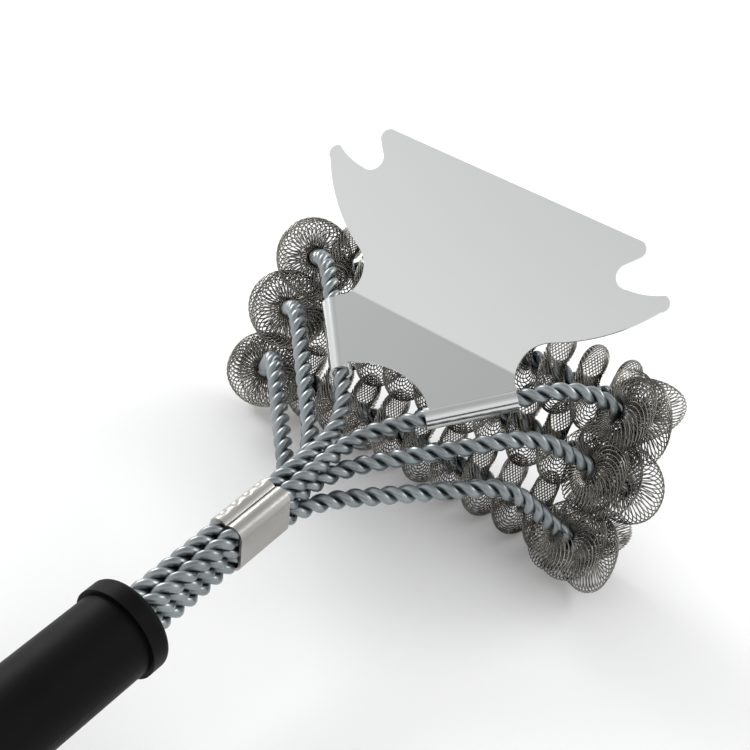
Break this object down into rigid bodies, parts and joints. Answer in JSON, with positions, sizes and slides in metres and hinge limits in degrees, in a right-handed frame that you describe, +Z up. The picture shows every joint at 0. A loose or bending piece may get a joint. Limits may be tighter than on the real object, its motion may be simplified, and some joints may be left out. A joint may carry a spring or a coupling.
{
  "type": "grill cleaning brush",
  "caption": "Bristle-free grill brush: springy coiled-wire rollers on twisted wire arms, a notched scraper blade, a round handle and a hanging ring.",
  "frame": {"origin": "centre of the footprint at floor level, the brush lying on its lowest coil and the heel of its handle with the scraper on top", "axes": "+Y from the hanging ring towards the head, +X across the head, +Z up on the scraper's side"},
  "size_m": [0.186, 0.4488, 0.1296],
  "materials": {
    "grip": "matt black moulded plastic",
    "core": "dark plastic plug",
    "rod": "satin drawn stainless wire",
    "spring": "bright fine spring wire",
    "ferrule": "satin pressed stainless sheet",
    "blade": "smooth bright stainless sheet",
    "ring": "bright plated wire"
  },
  "bodies": {
    "brush": {"handle_grip": "grip", "handle_collar": "grip", "wire_core": "core", "end_cap": "grip", "top_wire_outer": "rod", "top_wire_inner": "rod", "middle_wire_outer": "rod", "middle_wire_inner": "rod", "bottom_wire_outer": "rod", "bottom_wire_inner": "rod", "top_coil": "spring", "middle_coil": "spring", "bottom_coil": "spring", "ferrule": "ferrule", "scraper": "blade"},
    "ring": {"hanging_ring": "ring"}
  },
  "joints": [
    {"name": "ring_swing", "type": "hinge", "parent": "brush", "child": "ring", "pos_m": [0, -0.20686, 0.0134], "axis": [1, 0, 0], "range_deg": [-110, 45]}
  ]
}
